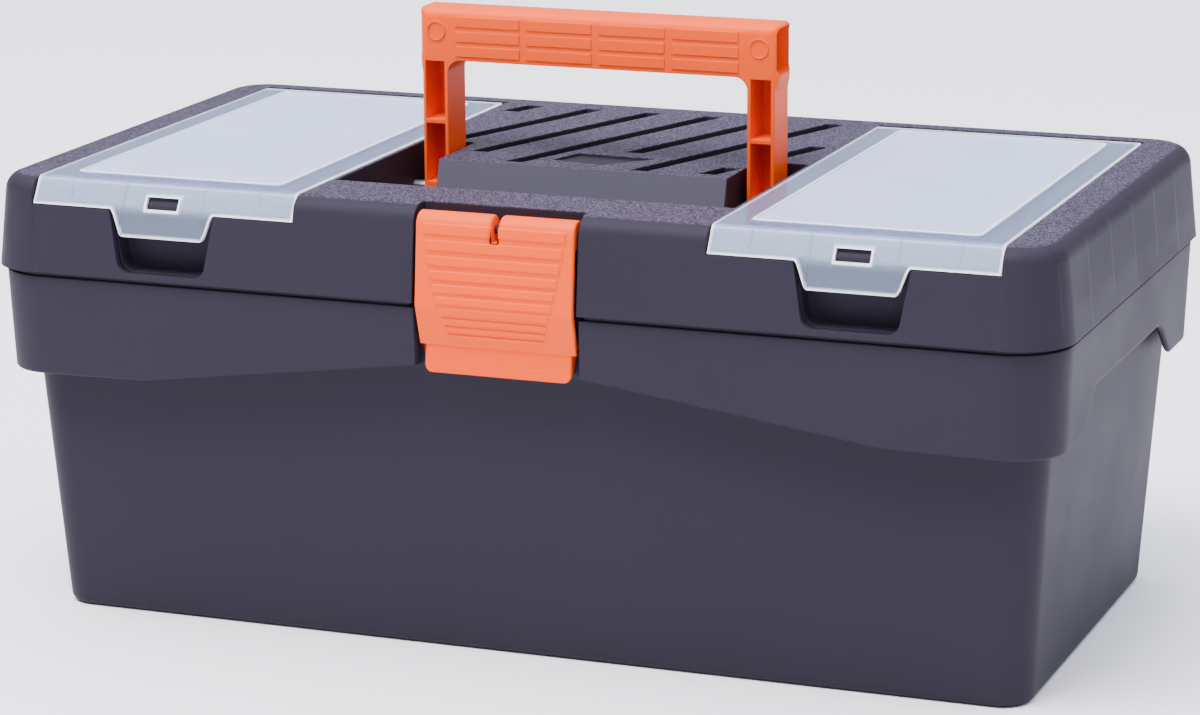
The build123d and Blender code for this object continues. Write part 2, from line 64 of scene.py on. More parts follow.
def camera_matrix(place, yaw, pitch, roll):
    """Columns are right, up and back. Back points from the box to the lens, and roll turns
    the other two about it."""
    back = Vector((math.sin(yaw) * math.cos(pitch), -math.cos(yaw) * math.cos(pitch), math.sin(pitch)))
    right = Vector((math.cos(yaw), math.sin(yaw), 0))
    up = back.cross(right)
    turned_right = math.cos(roll) * right + math.sin(roll) * up
    turned_up = -math.sin(roll) * right + math.cos(roll) * up
    columns = (turned_right, turned_up, back)
    rows = [[c[i] for c in columns] + [place[i]] for i in range(3)]
    return Matrix(rows + [[0, 0, 0, 1]])


camera_data = bpy.data.cameras.new("camera")
camera_data.lens = LENS_MM
camera_data.sensor_width = SENSOR_MM
camera_data.clip_end = 20
camera = bpy.data.objects.new("camera", camera_data)
bpy.context.collection.objects.link(camera)
camera.matrix_world = camera_matrix(CAMERA_PLACE, YAW, PITCH, ROLL)
bpy.context.scene.camera = camera
print("camera stands", round(CAMERA_PLACE.length, 2), "m from the box")

# %% [markdown]
# ## Three small helpers
# Every new piece is a set of shapes, and a shape is an array of points in millimetres with its faces.
# Every material is a tree of nodes, and one function adds a node. Hex colours are how a paint chart
# gives them, so one function turns them to the linear values that the renderer works in.

# %% Helpers
def mesh_object(name, *shapes, crease=38):
    """Join shapes into one mesh at the origin. A shape is points in mm, four-cornered faces, and caps."""
    points, faces, start = [], [], 0
    for places, quads, caps in shapes:
        points.append(places)
        faces += (quads + start).tolist() + [(cap + start).tolist() for cap in caps]
        start += len(places)
    mesh = bpy.data.meshes.new(name)
    mesh.from_pydata((np.concatenate(points) * MM).tolist(), [], faces)
    mesh.polygons.foreach_set("use_smooth", np.ones(len(mesh.polygons), bool))
    mesh.set_sharp_from_angle(angle=math.radians(crease))
    piece = bpy.data.objects.new(name, mesh)
    bpy.context.collection.objects.link(piece)
    return piece


def add_node(tree, kind, inputs=None, **settings):
    """Add a node with its settings. An input is a plain value, or a node or socket to link from."""
    node = tree.nodes.new("ShaderNode" + kind)
    for key, value in settings.items():
        setattr(node, key, value)
    for key, value in (inputs or {}).items():
        source = value.outputs[0] if isinstance(value, bpy.types.Node) else value
        if isinstance(source, bpy.types.NodeSocket):
            tree.links.new(source, node.inputs[key])
        else:
            node.inputs[key].default_value = source
    return node


def linear(hex_colour, alpha=1.0):
    """An sRGB hex colour as linear RGBA: a short straight toe, then a power of 2.4."""
    channels = [int(hex_colour[i:i + 2], 16) / 255 for i in (1, 3, 5)]
    return (*[c / 12.92 if c < 0.04045 else ((c + 0.055) / 1.055) ** 2.4 for c in channels], alpha)


# %% [markdown]
# ## Studio
# A white floor under a sky that is brightest overhead, and a little brighter behind the box than
# behind the camera. A dark plastic shows much of what it mirrors, so the dimmer side keeps the front
# dark. A large soft box high in front gives most of the light, and a weak one at the right lifts the end.

# %% Floor, sky and lights
def area_light(name, place, target, width, height, power):
    """A soft rectangular light at a place, turned to face a target."""
    data = bpy.data.lights.new(name, "AREA")
    data.shape = "RECTANGLE"
    data.size = width
    data.size_y = height
    data.energy = power
    lamp = bpy.data.objects.new(name, data)
    bpy.context.collection.objects.link(lamp)
    lamp.location = place
    lamp.rotation_euler = (Vector(place) - Vector(target)).to_track_quat("Z", "Y").to_euler()


FLOOR_HALF = 6000
floor_corners = np.array([(-1, -1, 0), (1, -1, 0), (1, 1, 0), (-1, 1, 0)]) * FLOOR_HALF
floor = mesh_object("floor", (floor_corners, np.array([[0, 1, 2, 3]]), []))
paper = bpy.data.materials.new("white background paper")
paper.use_nodes = True
paper_shader = paper.node_tree.nodes["Principled BSDF"]
paper_shader.inputs["Base Color"].default_value = linear("#fafafb")
paper_shader.inputs["Roughness"].default_value = 0.95
paper_shader.inputs["Specular IOR Level"].default_value = 0.2
floor.data.materials.append(paper)

world = bpy.data.worlds.new("studio")
world.use_nodes = True
sky = world.node_tree
background = sky.nodes["Background"]
background.inputs["Color"].default_value = linear("#eef0ff")
heading = add_node(sky, "SeparateXYZ", {0: add_node(sky, "TexCoord").outputs["Generated"]})
behind = add_node(sky, "MapRange", {"Value": heading.outputs["Y"], "From Min": -0.9, "From Max": 0.7,
                                    "To Min": 0.45, "To Max": 0.85})
overhead = add_node(sky, "MapRange", {"Value": heading.outputs["Z"], "From Min": 0.6, "From Max": 1.0,
                                      "To Min": 0.0, "To Max": 5.0})
total = add_node(sky, "Math", {0: behind, 1: overhead}, operation="ADD")
sky.links.new(total.outputs[0], background.inputs["Strength"])
bpy.context.scene.world = world

area_light("right soft box", (1.9, -0.1, 0.8), (0, 0, 0.1), 1.0, 1.2, 1.5)
area_light("high front soft box", (-0.5, -1.0, 2.3), (0, 0, 0.1), 1.6, 1.2, 105)
print("floor", 2 * FLOOR_HALF / 1000, "m square, a graded sky and two lights")

# %% [markdown]
# ## Rings and sheets
# Two ideas make every smooth moulding here. A **ring** is a closed line of points, and rings of
# many sizes stack into a wall whose two ends are capped. A **sheet pair** is an outer and an inner
# grid of the same shape: cells can be left out of both, and the gap between the two is closed along
# every edge that this leaves, round the outline and round each hole.

# %% Stacks, prisms and sheet pairs
def stack(rings):
    """A closed skin over rings of equal length: four-cornered faces between them and a cap on each end."""
    count, around = rings.shape[:2]
    index = np.arange(count * around).reshape(count, around)
    a, b = index[:-1], index[1:]
    quads = np.stack([a, np.roll(a, -1, 1), np.roll(b, -1, 1), b], axis=-1).reshape(-1, 4)
    return rings.reshape(-1, 3), quads, [index[0][::-1], index[-1]]


def prism(outline, start, end):
    """An outline in y and z, drawn anticlockwise as seen from the right, pushed from x = start to x = end."""
    y, z = np.array(outline, float).T
    return stack(np.stack([np.stack([np.full_like(y, x), y, z], -1) for x in (start, end)]))


def arc(centre_y, centre_z, radius, start, end, count):
    """Points on a circle in y and z between two angles in degrees, measured from +y towards +z."""
    turn = np.radians(np.linspace(start, end, count))
    return np.stack([centre_y + radius * np.cos(turn), centre_z + radius * np.sin(turn)], -1)


def sheet_pair(outer, inner, keep):
    """A plate between two matching grids: kept cells on both, and a wall along each edge of
    what is kept."""
    rows, columns = outer.shape[:2]
    index = np.arange(rows * columns).reshape(rows, columns)
    a, b, c, d = index[:-1, :-1], index[:-1, 1:], index[1:, 1:], index[1:, :-1]
    under = rows * columns
    faces = [np.stack([a, b, c, d], -1)[keep], np.stack([d, c, b, a], -1)[keep] + under]
    padded = np.pad(keep, 1)
    for row, column, first, second in ((-1, 0, a, b), (0, 1, b, c), (1, 0, c, d), (0, -1, d, a)):
        edge = keep & ~padded[1 + row:rows + row, 1 + column:columns + column]
        faces.append(np.stack([second[edge], first[edge], first[edge] + under, second[edge] + under], -1))
    used, compact = np.unique(np.concatenate(faces), return_inverse=True)
    points = np.concatenate([outer.reshape(-1, 3), inner.reshape(-1, 3)])[used]
    return points, compact.reshape(-1, 4), []


def smooth(low, high, value):
    """0 up to low, 1 from high on, and an S-shaped rise between."""
    t = np.clip((value - low) / (high - low), 0, 1)
    return t * t * (3 - 2 * t)


# %% [markdown]
# ## Tub
# The tub is one shot of polypropylene with walls about 2.4 mm thick. Its body tapers so that it
# leaves the mould. A skirt hangs from its rim like a short apron, and the skirt's lower edge steps
# up beside the latch and along both ends. The wall's cross-section is one line: up the
# body, out under the ledge, down inside the skirt, round its lip, up to the rim and back down
# the inside. Each stop along that line is one ring.

# %% Tub rings
RIM_Z, LEDGE_Z, WALL, FLOOR = 134.0, 114.0, 2.4, 2.6
SKIRT_LOW, SKIRT_HIGH = 95.2, 110.3
REBATE_Z, REBATE = 132.7, 1.1
RECESS_HALF, RECESS_Y = 31.3, 102.4
FOOT_HALF, FLARE = (189.2, 88.1), (7.4, 8.3)
SKIRT_HALF, SKIRT_ROUND = (203.6, 109.6), 22.0
STRAIGHT_X = SKIRT_HALF[0] - SKIRT_ROUND


def unit_ring():
    """How far along x and y each point's corner centre lies, from -1 to 1, and its outward angle.

    On a side one factor runs from end to end at a fixed angle; in a corner both stay and the angle
    turns by 90 degrees. Points crowd together on the front where the latch recess begins."""
    crowd = RECESS_HALF + np.array([-0.3, -0.1, 0.1, 0.3, 2.1, 2.3, 2.5, 2.7])
    recess_edges = np.concatenate([-crowd, crowd]) / STRAIGHT_X
    front = np.unique(np.concatenate([np.linspace(-1, 1, 141), recess_edges]))[:-1]
    side = np.linspace(-1, 1, 91)[:-1]
    back = np.linspace(1, -1, 61)[:-1]
    turn = np.linspace(0, np.pi / 2, 15)[:-1]
    one, quarter = np.ones_like, np.pi / 2
    along = [front, one(turn), one(side), one(turn), back, -one(turn), -one(side), -one(turn)]
    across = [-one(front), -one(turn), side, one(turn), one(back), one(turn), -side, -one(turn)]
    angle = [-quarter * one(front), turn - quarter, 0 * side, turn, quarter * one(back), turn + quarter,
             2 * quarter * one(side), turn + 2 * quarter]
    return np.concatenate(along), np.concatenate(across), np.concatenate(angle)


ALONG, ACROSS, ANGLE = unit_ring()


def ring(half_x, half_y, radius, z):
    """Each point is its corner's centre plus the radius times its outward direction."""
    x = ALONG * (half_x - radius) + radius * np.cos(ANGLE)
    y = ACROSS * (half_y - radius) + radius * np.sin(ANGLE)
    return np.stack([x, y, np.broadcast_to(z, x.shape)], -1)


def body_ring(z, inset):
    """The body's sides are straight lines from foot to ledge, drawn in by inset."""
    t = z / LEDGE_Z
    half_x, half_y = (foot + flare * t - inset for foot, flare in zip(FOOT_HALF, FLARE))
    return ring(half_x, half_y, 12 + 2 * t - min(inset, 9), z)


def skirt_ring(z, inset):
    """The skirt leans in by 1.6 mm over its height, and steps back where the latch has its recess."""
    lean = 1.6 * (RIM_Z - z) / 44
    half_x, half_y = (half - lean - inset for half in SKIRT_HALF)
    points = ring(half_x, half_y, SKIRT_ROUND - inset, z)
    from_edge = np.abs(ALONG) * STRAIGHT_X - RECESS_HALF - inset
    recess = (1 - smooth(-0.15, 0.15, from_edge)) * (ANGLE == -np.pi / 2)
    points[:, 1] += recess * np.maximum(-points[:, 1] - RECESS_Y + inset, 0)
    return points


def skirt_edge():
    """Height of the lower edge: a long shallow rise to the latch, and an S-shaped step at each end."""
    x, y = skirt_ring(100.0, 0)[:, :2].T
    stops = [34, 38, 139, 143, 184, 206]
    heights = [SKIRT_HIGH, SKIRT_HIGH - 0.3, SKIRT_LOW + 0.9, SKIRT_LOW + 0.5, SKIRT_LOW, SKIRT_LOW - 0.8]
    front = np.interp(np.abs(x), stops, heights)
    rise = smooth(0, 1, np.clip((y + 72) / 23, 0, 1) ** 1.4)
    fall = smooth(0, 1, (72 - y) / 30)
    ends = SKIRT_LOW - 2 + (SKIRT_HIGH - SKIRT_LOW + 1.3) * np.minimum(rise, fall)
    return np.where(np.abs(x) > 199, np.maximum(ends, front), front)


def tub_rings():
    """The wall's cross-section, ring by ring, from under the foot to the middle of the floor."""
    lip = skirt_edge()
    flat = np.ones_like(lip)
    quarter, whole = np.linspace(0, np.pi / 2, 6), np.linspace(0, np.pi, 9)
    rows = [body_ring(0.0, 60), body_ring(0.0, 20)]
    rows += [body_ring(3 * (1 - np.cos(t)), 3 * (1 - np.sin(t))) for t in quarter]
    rows += [body_ring(z, 0) for z in np.linspace(8, LEDGE_Z - WALL - 1.5, 24)]
    rows += [body_ring(LEDGE_Z - WALL, -0.6), skirt_ring(flat * (LEDGE_Z - WALL), WALL)]
    rows += [skirt_ring(lip + WALL / 2 * (1 - np.sin(t)), WALL / 2 * (1 + np.cos(t))) for t in whole]
    start, end = lip + WALL / 2, REBATE_Z - 0.5
    rows += [skirt_ring(start + (end - lip - WALL / 2) * t, 0) for t in np.linspace(0, 1, 18)[1:]]
    rows += [skirt_ring(flat * (REBATE_Z - 0.5 + 0.5 * np.sin(t)), 0.5 * (1 - np.cos(t)))
             for t in quarter[1:]]
    rows += [skirt_ring(flat * REBATE_Z, REBATE), skirt_ring(flat * (RIM_Z - 0.3), REBATE)]
    rows += [skirt_ring(flat * RIM_Z, REBATE + 0.3)]
    rows += [skirt_ring(flat * (RIM_Z - 0.6 + 0.6 * np.cos(t)), WALL - 0.6 + 0.6 * np.sin(t))
             for t in quarter]
    rows += [skirt_ring(flat * LEDGE_Z, WALL)] + [body_ring(z, WALL) for z in (LEDGE_Z, 90, 60, 30, 6)]
    rows += [body_ring(3.4, WALL + 0.8), body_ring(FLOOR, WALL + 3)]
    rows += [body_ring(FLOOR, 20), body_ring(FLOOR, 60)]
    return np.array(rows)


# %% Tub, with its catch and hinge knuckles
HINGE_Y, HINGE_Z, KNUCKLE_R = 111.0, 134.0, 4.5
catch = prism([(-106.4, 127.8), (-101.6, 126), (-101.6, 131.5), (-106.4, 130)], -20, 20)
knuckle_outline = [(107.6, 120), (109.2, 120), *arc(HINGE_Y, HINGE_Z, KNUCKLE_R, 0, 180, 16), (107.6, 131)]
knuckles = [prism(knuckle_outline, start, start + 12) for start in (-140, -112, 100, 128)]
tub = mesh_object("tub_moulding", stack(tub_rings()), catch, *knuckles)
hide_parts("tub")
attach(tub, "tub")
print("tub:", len(tub.data.polygons), "faces")

# %% [markdown]
# ## Latch
# The latch hangs from a pivot moulded across its recess, which runs through its rolled top edge. Its
# face carries raised slabs that give the thumb some grip, each a little narrower and closer to the next
# on the way down. Below a ledge, a thinner lip with fine ribs is what the thumb lifts. One closed
# outline of its side view is repeated at stations across the width, and the slabs push its front
# points outwards.

# %% Latch outline and grip
LATCH_HALF, LIP_HALF, LEDGE, LIP_LOW = 30.0, 28.0, 119.2, 109.0
PIN_Y, PIN_Z, BARREL = -104.4, 162.0, 5.2
SLOT_HALF, SLOT_Z, SLOT_ROUND, EDGE_ROUND = 1.4, 158.0, 1.2, 0.8
step_number = np.arange(10)
STEP_Z = 159.8 - 5.9 * step_number + 0.19 * step_number ** 2
STEP_HALF = 27.1 - 1.0 * step_number
STEP_TALL = 0.64 * (5.9 - 0.38 * step_number)


def latch_half(z):
    """Half width at a height: full down to the ledge, narrower for the lip, and a 3 mm round
    at its corners."""
    low = np.clip((LIP_LOW + 3 - z) / 3, 0, 1)
    return np.where(z > LEDGE, LATCH_HALF, LIP_HALF - 3 + 3 * np.sqrt(1 - low ** 2))


def grip_relief(x, z):
    """Height of the slabs, of the mould line under the slot and of the lip's ribs, in mm."""
    k = step_number[:, None, None]
    low, tall, half_width = (v[k] for v in (STEP_Z, STEP_TALL, STEP_HALF))
    inside = smooth(low - 0.1, low + 0.15, z) * (1 - smooth(low + tall - 0.15, low + tall + 0.15, z))
    slabs = (inside * (1 - smooth(half_width - 0.2, half_width + 0.2, np.abs(x)))).max(0)
    line = 0.12 * np.exp(-(x / 0.3) ** 2) * smooth(140, 142, z) * (1 - smooth(156, 158, z))
    ribs = 0.25 * np.cos(np.pi * (z - 111.0) / 1.45) ** 2 * (np.abs(z - 113.9) < 3.4) * (np.abs(x) < 25.2)
    return 0.6 * slabs - line + ribs


def latch_rings():
    """The side view as one closed line at each station across the width."""
    roll = np.sin(np.linspace(0, np.pi / 2, 6))
    half_stations = np.concatenate([SLOT_HALF + SLOT_ROUND * (1 - roll[::-1]),
                                    np.linspace(3, LATCH_HALF - 0.9, 56),
                                    LATCH_HALF - EDGE_ROUND + EDGE_ROUND * roll])
    centre = np.array([-SLOT_HALF, -0.6, -0.3, 0, 0.3, 0.6, SLOT_HALF])
    stations = np.concatenate([-half_stations[::-1], centre, half_stations])
    in_slot = np.zeros(len(stations), bool)
    in_slot[len(half_stations):len(half_stations) + len(centre)] = True
    front_z = np.arange(161.4, LIP_LOW + 0.3, -0.2)
    front_y = np.interp(front_z, [LIP_LOW, LEDGE - 0.2, LEDGE, 133.8, 161.5],
                        [-108.3, -107.1, -107.6, -112, -109.6])
    back_z = np.array([109, 109.4, 110.2, 112, 115, 118.8, 119.2, 122, 128, 133.2, 140, 146, 152, 157.2])
    back_y = np.interp(back_z, [LIP_LOW, 118.8, 133.2, 159.5], [-106.2, -104.9, -109.8, -107.6])
    top = arc(PIN_Y, PIN_Z, BARREL, 90, 176, 24)
    rest = arc(PIN_Y, PIN_Z, BARREL, 234, 446, 40)
    foot = np.array([(-108.15, LIP_LOW + 0.2), (-107.8, LIP_LOW)])
    front, back = np.stack([front_y, front_z], -1), np.stack([back_y, back_z], -1)
    outline = np.concatenate([top, front, foot, back, rest])
    is_front = np.zeros(len(outline))
    is_front[len(top):len(top) + len(front_z)] = 1
    x = stations[:, None] + 0 * outline[None, :, 0]
    y = outline[None, :, 0] + 0 * x
    z = outline[None, :, 1] + 0 * x
    on_face = np.arange(len(outline)) < len(top) + len(front_z)
    y -= on_face * grip_relief(x, z)
    side = np.clip((np.abs(x) - LATCH_HALF + EDGE_ROUND) / EDGE_ROUND, 0, 1)
    beside_slot = np.clip((SLOT_HALF + SLOT_ROUND - np.abs(x)) / SLOT_ROUND, 0, 1)
    slot = beside_slot * (z > SLOT_Z) * ~in_slot[:, None]
    inset = EDGE_ROUND * (1 - np.sqrt(1 - side ** 2)) + SLOT_ROUND * (1 - np.sqrt(1 - slot ** 2))
    is_back = np.zeros(len(outline))
    is_back[len(top) + len(front_z) + 2:len(top) + len(front_z) + 2 + len(back_z)] = 1
    on_barrel = 1 - is_front - is_back
    on_barrel[len(top) + len(front_z):len(top) + len(front_z) + 2] = 0
    reach = np.hypot(y - PIN_Y, z - PIN_Z) + 1e-6
    y += is_front * inset - on_barrel * inset * (y - PIN_Y) / reach
    z -= on_barrel * inset * (z - PIN_Z) / reach
    cut = in_slot[:, None] & (z > SLOT_Z)
    y = np.where(cut, np.minimum(y, -100.9), y)
    z = np.where(cut, SLOT_Z, z)
    return np.stack([x * latch_half(z) / LATCH_HALF, y, z], -1)


# %% Latch
hook_outline = [(-108.6, 126.4), (-107.4, 121), (-106.2, 121), (-105.2, 122.8), (-105.2, 125.6)]
hook = prism(hook_outline, -18, 18)
latch = mesh_object("latch_moulding", stack(latch_rings()), hook, crease=30)
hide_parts("latch")
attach(latch, "latch")
print("latch:", len(latch.data.polygons), "faces,", len(STEP_Z), "grip slabs")

# %% [markdown]
# ## Clear covers
# Each cover is a clear plate whose front bends down over the edge of the lid. The middle of its front
# hangs lower as a tab with soft shoulders, and a window in the tab snaps over a catch on the lid. A
# raised frame stiffens the plate round a frosted panel. The rows of the grid follow the bend, and in
# the tab they stretch down to the lower edge, so the shoulders are smooth curves and not stairs.

# %% Cover grid
COVER_X, COVER_HALF, PLATE_Z, PLATE_T = 131.0, 52.4, 169.4, 1.7
WINDOW_HALF, WINDOW_LOW, WINDOW_HIGH = 6.4, 160.3, 164.6
FRAME_HALF_X, FRAME_HALF_Y, FRAME_Y = 40.8, 88.3, -5.5
SHOULDER, TAB_LOW, TAB_RISE = (15.8, 21.0), 150, 9.8
BEND_Y, BEND_Z, BEND_R = -101.29, 166.4, 3
COVER_HINGE_Y, COVER_HINGE_Z, COVER_BARREL = 89.0, 165.6, 2.4


def cover_columns():
    """Places across the width, close together at the frame, shoulders, ribs, window and rolled edges."""
    edge = 51.9 + 0.5 * np.sin(np.linspace(0, np.pi / 2, 5))
    close = [np.linspace(WINDOW_HALF + 0.3, WINDOW_HALF + 1.8, 6), np.linspace(15, 23.4, 34),
             np.linspace(36.4, 43, 27), edge]
    wide = [[0, 1.6, 3.2, 4.8, WINDOW_HALF], [9, 11, 13], [26, 29, 32, 35], [45, 47, 49, 51]]
    right = np.unique(np.concatenate([np.concatenate(close), np.concatenate(wide)]))
    return np.concatenate([-right[:0:-1], right])


def frame_distance(x, y):
    """Distance in mm outside a rectangle with rounded corners; negative inside it."""
    radius = 2.5
    dx = np.abs(x) - FRAME_HALF_X + radius
    dy = np.abs(y - FRAME_Y) - FRAME_HALF_Y + radius
    return np.hypot(np.maximum(dx, 0), np.maximum(dy, 0)) + np.minimum(np.maximum(dx, dy), 0) - radius


def cover_shape(middle):
    """Outer and inner grids of one cover: plate, a bend of 3 mm radius, leaning flange, then tab."""
    x = cover_columns()
    plate_y = np.concatenate([[89.8, 89.4, 88, 86], np.linspace(85, 80.6, 18), np.linspace(78, -90, 25),
                              np.linspace(-91.6, -96, 18), [-98, -99.6]])
    turn = np.radians(np.linspace(90, 149.3, 9))
    flange_z = np.concatenate([np.linspace(167.9, WINDOW_HIGH, 12),
                               np.linspace(WINDOW_HIGH, WINDOW_LOW, 12)[1:]])
    drop = np.linspace(0, 1, 18)[1:, None]
    tab_bottom = TAB_LOW + TAB_RISE * smooth(*SHOULDER, np.abs(x))
    rows = len(plate_y) + len(turn) + len(flange_z) + len(drop)
    lean_z = np.concatenate([np.repeat(flange_z[:, None], len(x), 1),
                             WINDOW_LOW + drop * (tab_bottom - WINDOW_LOW)])
    lean_y = np.interp(lean_z, [TAB_LOW, 160.4, 167.93], [-109.6, -108.34, -103.87])
    flat = np.ones_like(x)
    bend_y = (BEND_Y + BEND_R * np.cos(turn))[:, None] * flat
    bend_z = (BEND_Z + BEND_R * np.sin(turn))[:, None] * flat
    y = np.concatenate([plate_y[:, None] * flat, bend_y, lean_y])
    z = np.concatenate([0 * plate_y[:, None] * flat + PLATE_Z, bend_z, lean_z])
    angle = np.concatenate([np.full(len(plate_y), np.pi / 2), turn, np.full(len(lean_z), turn[-1])])[:, None]
    x = x + 0 * y
    before_flange = len(plate_y) + len(turn)
    on_plate = (np.arange(rows) < len(plate_y))[:, None]
    below_bend = (np.arange(rows) >= len(plate_y) + 2)[:, None]
    distance = frame_distance(x, y)
    frame_ridge = 0.6 * (1 - smooth(0.35, 1.3, np.abs(distance))) + 0.2 * (1 - smooth(-0.6, 0, distance))
    ribs = 0.5 * (1 - smooth(0.3, 0.8, np.abs(np.abs(x) - 16.6 + 0.05 * (z - TAB_LOW))))
    nibs = 0.4 * (1 - smooth(0.3, 0.7, np.abs(np.abs(x) - 37.5))) * smooth(162.4, 163, z)
    gate = 0.4 * (1 - smooth(0.2, 0.9, np.hypot(x + 45.5, z - 161.6)))
    around = np.maximum(np.abs(x) - WINDOW_HALF, np.abs(z - (WINDOW_LOW + WINDOW_HIGH) / 2) - 2.15)
    window_frame = 0.3 * (1 - smooth(0.9, 1.4, around))
    roll = np.clip((np.abs(x) - 51.9) / 0.5, 0, 1)
    relief = on_plate * frame_ridge + below_bend * (ribs + nibs + gate + window_frame)
    relief = relief - 0.5 * (1 - np.sqrt(1 - roll ** 2))
    outer = np.stack([middle + x, y + relief * np.cos(angle), z + relief * np.sin(angle)], -1)
    level = np.clip((np.arange(rows) - before_flange + 1) / 10, 0, 1)[:, None]
    inner = np.stack([middle + x, y - (1 - level) * PLATE_T * np.cos(angle) + level * 1.74,
                      z - (1 - level) * PLATE_T * np.sin(angle)], -1)
    column_middle = (x[0, 1:] + x[0, :-1]) / 2
    row_middle = (z[1:, 0] + z[:-1, 0]) / 2
    on_flange = np.arange(rows - 1) >= before_flange
    window_rows = (row_middle < WINDOW_HIGH) & (row_middle > WINDOW_LOW) & on_flange
    in_window = (np.abs(column_middle) < WINDOW_HALF)[None, :] & window_rows[:, None]
    return sheet_pair(outer[:, ::-1], inner[:, ::-1], ~in_window[:, ::-1])


def mark_painted_edge_highlights(cover, middle):
    """Store how near each point is to the moulding's outline, window or frame: 1 on the line,
    0 from 1 mm off. The clear material paints these places white as a painted edge highlight."""
    mesh = cover.data
    places = np.empty(len(mesh.vertices) * 3)
    mesh.vertices.foreach_get("co", places)
    x, y, z = (places.reshape(-1, 3) / MM).T
    x = x - middle
    along = np.clip((np.abs(x) - SHOULDER[0]) / (SHOULDER[1] - SHOULDER[0]), 0, 1)
    slope = TAB_RISE * 6 * along * (1 - along) / (SHOULDER[1] - SHOULDER[0])
    from_bottom = (z - TAB_LOW - TAB_RISE * smooth(*SHOULDER, np.abs(x))) / np.hypot(1, slope)
    window = np.maximum(np.abs(x) - WINDOW_HALF, np.abs(z - (WINDOW_LOW + WINDOW_HIGH) / 2) - 2.15)
    from_window = np.where(z < 167, np.abs(window), 9)
    from_frame = np.where(z > 168.5, np.abs(frame_distance(x, y)), 9)
    distance = np.minimum.reduce([from_bottom, COVER_HALF - np.abs(x), from_window, from_frame, 89.8 - y])
    mesh.attributes.new("edge", "FLOAT", "POINT").data.foreach_set("value", 1 - smooth(0.3, 1.0, distance))


# %% Covers
covers = []
for name, middle in (("left", -COVER_X), ("right", COVER_X)):
    barrel = arc(COVER_HINGE_Y, COVER_HINGE_Z, COVER_BARREL, 0, 345, 24)
    barrels = [prism(barrel, middle + start, middle + start + 20) for start in (-40, 20)]
    cover = mesh_object(f"cover_moulding_{name}", cover_shape(middle), *barrels, crease=34)
    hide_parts(f"cover_{name}")
    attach(cover, f"cover_{name}")
    mark_painted_edge_highlights(cover, middle)
    covers.append(cover)
    print("cover", name, len(cover.data.polygons), "faces")

# %% [markdown]
# ## Moulded polypropylene
# Tool boxes like this are injection moulded in polypropylene. The steel mould is spark eroded, which
# leaves a fine satin grain on the walls, and a coarser grain on the flat tops so that scratches
# don't show. Every outside edge has a small round, because a knife edge would not fill. The grain is
# a bump from noise measured in millimetres, and the small rounds come from the Bevel node, which
# turns the shading near an edge without needing more faces.

# %% Charcoal and orange mouldings
def moulded_plastic(name, colour, pale, roughness, grain_mm, depth_mm, round_mm):
    """Satin plastic: two close tones in soft clouds, a fine grain as a bump, and rounded edges."""
    material = bpy.data.materials.new(name)
    material.use_nodes = True
    tree = material.node_tree
    shader = tree.nodes["Principled BSDF"]
    place = add_node(tree, "TexCoord").outputs["Object"]
    clouds = add_node(tree, "TexNoise", {"Vector": place, "Scale": 1 / (45 * MM), "Detail": 3.0})
    tone = add_node(tree, "Mix", {0: clouds, 6: linear(colour), 7: linear(pale)}, data_type="RGBA")
    tree.links.new(tone.outputs[2], shader.inputs["Base Color"])
    shine = add_node(tree, "MapRange", {"Value": clouds, "From Min": 0.3, "From Max": 0.7,
                                        "To Min": roughness - 0.04, "To Max": roughness + 0.04})
    tree.links.new(shine.outputs[0], shader.inputs["Roughness"])
    edge = add_node(tree, "Bevel", {"Radius": round_mm * MM}, samples=6)
    grain = add_node(tree, "TexNoise", {"Vector": place, "Scale": 1 / (grain_mm * MM), "Detail": 2.0})
    bump = add_node(tree, "Bump", {"Strength": 1.0, "Distance": depth_mm * MM, "Height": grain,
                                   "Normal": edge})
    tree.links.new(bump.outputs[0], shader.inputs["Normal"])
    return material


# tub and lid: polypropylene filled with carbon black, satin, with a weak gloss for its depth of colour
CHARCOAL, CHARCOAL_PALE, CHARCOAL_GLOSS = "#29252f", "#2c2833", 0.08
charcoal = moulded_plastic("charcoal polypropylene, fine grain", CHARCOAL, CHARCOAL_PALE,
                           0.52, 0.7, 0.02, 0.7)
charcoal.node_tree.nodes["Principled BSDF"].inputs["Specular IOR Level"].default_value = CHARCOAL_GLOSS
# handle and latch: pigmented polypropylene, a little glossier than the box
orange = moulded_plastic("orange polypropylene, satin", "#f04a00", "#f65302", 0.42, 1.2, 0.006, 0.5)
orange.node_tree.nodes["Principled BSDF"].inputs["Specular IOR Level"].default_value = 0.14
# tray: regrind polypropylene, greyer and duller than the box
tray_grey = moulded_plastic("grey polypropylene, reground", "#43424b", "#4b4a53", 0.5, 0.8, 0.015, 0.4)
print("three plastics")
